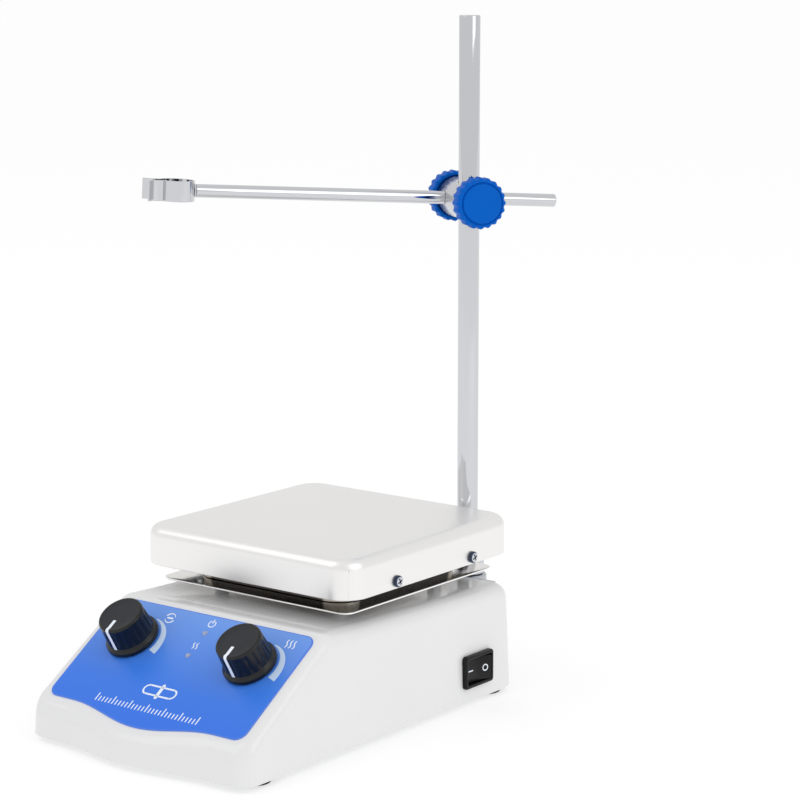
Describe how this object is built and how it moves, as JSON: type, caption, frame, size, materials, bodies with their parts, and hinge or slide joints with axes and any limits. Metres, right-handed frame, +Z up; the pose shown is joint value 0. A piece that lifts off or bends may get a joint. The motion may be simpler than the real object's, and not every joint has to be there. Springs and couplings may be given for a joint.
{
  "type": "magnetic stirrer",
  "caption": "Bench magnetic stirrer with a square heating plate, sloping panel with two knobs, and a support rod with boss head and spring-clip arm.",
  "frame": {"origin": "centre of the hot plate's top face, where a vessel stands", "axes": "+Z up out of the plate, -Y towards the control panel, +X towards the side with the rocker switch"},
  "size_m": [0.1346, 0.2471, 0.305],
  "materials": {
    "white_casing": "glossy white moulded plastic",
    "grey_plastic": "matt light grey moulded plastic",
    "rubber": "matt black rubber",
    "plated_screws": "bright zinc plated steel",
    "blue_label": "printed blue film with a satin face",
    "pot_body": "dark moulded plastic",
    "knob_black": "black moulded plastic, satin sides and a matt top",
    "bright_steel": "turned bright steel",
    "lamp_lens": "water-clear lamp lens",
    "switch_black": "black moulded nylon",
    "inlet_black": "black moulded plastic",
    "fuse_glass": "glass tube with plated end caps",
    "satin_steel": "satin stainless sheet",
    "heater_aluminium": "cast aluminium",
    "mineral_wool": "pressed mineral fibre",
    "brushed_steel": "brushed stainless sheet",
    "polished_steel": "polished stainless sheet",
    "zinc_plate": "zinc plated steel",
    "motor_can": "plated steel can",
    "magnet": "dark sintered magnet",
    "circuit": "green laminate board with moulded components",
    "chrome_rod": "bright chrome plate",
    "boss_metal": "satin plated steel",
    "clamp_blue": "satin blue moulded plastic"
  },
  "bodies": {
    "base": {"upper_casing": "white_casing", "bottom_cover": "grey_plastic", "foot_front_left": "rubber", "foot_front_right": "rubber", "foot_rear_left": "rubber", "foot_rear_right": "rubber", "base_screw_front_left": "plated_screws", "base_screw_front_right": "plated_screws", "base_screw_rear_left": "plated_screws", "base_screw_rear_right": "plated_screws", "cover_screw_left_front": "plated_screws", "cover_screw_left_rear": "plated_screws", "cover_screw_right_front": "plated_screws", "cover_screw_right_rear": "plated_screws", "bracket_screw_left": "plated_screws", "bracket_screw_right": "plated_screws", "control_label": "blue_label", "stirring_potentiometer": "pot_body", "heating_potentiometer": "pot_body", "power_lamp": "lamp_lens", "heat_lamp": "lamp_lens", "switch_body": "switch_black", "power_inlet": "inlet_black", "hot_plate_cover": "satin_steel", "heater_plate": "heater_aluminium", "insulation_pad": "mineral_wool", "heater_housing": "brushed_steel", "heat_shield_tray": "polished_steel", "cover_bracket_right": "zinc_plate", "cover_bracket_left": "zinc_plate", "motor_bracket": "zinc_plate", "rod_bracket": "zinc_plate", "rod_lock_nut": "zinc_plate", "tray_spacer_front_left": "zinc_plate", "tray_spacer_front_right": "zinc_plate", "tray_spacer_rear_left": "zinc_plate", "tray_spacer_rear_right": "zinc_plate", "drive_motor": "motor_can", "circuit_board": "circuit"},
    "stirring_control": {"stirring_knob": "knob_black", "stirring_knob_shaft": "bright_steel"},
    "heating_control": {"heating_knob": "knob_black", "heating_knob_shaft": "bright_steel"},
    "rocker": {"switch_rocker": "switch_black"},
    "rotor": {"drive_shaft": "bright_steel", "magnet_holder": "heater_aluminium", "magnet_a": "magnet", "magnet_b": "magnet"},
    "fuse_carrier": {"fuse_drawer": "inlet_black", "fuse": "fuse_glass"},
    "stand": {"support_rod": "chrome_rod"},
    "cross_clamp": {"boss_head": "boss_metal"},
    "front_thumbscrew": {"front_clamp_knob": "clamp_blue", "front_clamp_screw": "bright_steel"},
    "rear_thumbscrew": {"rear_clamp_knob": "clamp_blue", "rear_clamp_screw": "bright_steel"},
    "arm": {"arm_rod": "chrome_rod"},
    "clip": {"spring_clip": "chrome_rod"}
  },
  "joints": [
    {"name": "stirring_knob_turn", "type": "hinge", "parent": "base", "child": "stirring_control", "pos_m": [-0.0335, -0.09205, -0.04134], "axis": [0, 0.5528, -0.8333], "range_deg": [0, 300]},
    {"name": "heating_knob_turn", "type": "hinge", "parent": "base", "child": "heating_control", "pos_m": [0.0335, -0.09205, -0.04134], "axis": [0, 0.5528, -0.8333], "range_deg": [0, 300]},
    {"name": "switch_rock", "type": "hinge", "parent": "base", "child": "rocker", "pos_m": [0.0603, 0.02875, -0.0657], "axis": [0, 0, 1], "range_deg": [0, 18]},
    {"name": "rotor_spin", "type": "hinge", "parent": "base", "child": "rotor", "pos_m": [0, 0, -0.0225], "axis": [0, 0, 1], "continuous": true},
    {"name": "fuse_drawer_slide", "type": "slide", "parent": "base", "child": "fuse_carrier", "axis": [0, 1, 0], "range_m": [0, 0.014]},
    {"name": "stand_swivel", "type": "hinge", "parent": "base", "child": "stand", "pos_m": [0.0276, 0.068, -0.0365], "axis": [0, 0, 1], "range_deg": [-180, 180]},
    {"name": "boss_height", "type": "slide", "parent": "stand", "child": "cross_clamp", "axis": [0, 0, 1], "range_m": [-0.115, 0.07]},
    {"name": "front_thumbscrew_turn", "type": "hinge", "parent": "cross_clamp", "child": "front_thumbscrew", "pos_m": [0.02383, 0.07064, 0.1395], "axis": [0.8192, -0.5736, 0], "range_deg": [0, 360]},
    {"name": "rear_thumbscrew_turn", "type": "hinge", "parent": "cross_clamp", "child": "rear_thumbscrew", "pos_m": [0.02383, 0.07064, 0.1395], "axis": [-0.8192, 0.5736, 0], "range_deg": [0, 360]},
    {"name": "arm_slide", "type": "slide", "parent": "cross_clamp", "child": "arm", "axis": [-0.5727, -0.8179, 0.0558], "range_m": [-0.1, 0.03]},
    {"name": "clip_twist", "type": "hinge", "parent": "arm", "child": "clip", "pos_m": [0.02006, 0.07328, 0.1395], "axis": [-0.5727, -0.8179, 0.0558], "range_deg": [-90, 90]}
  ]
}
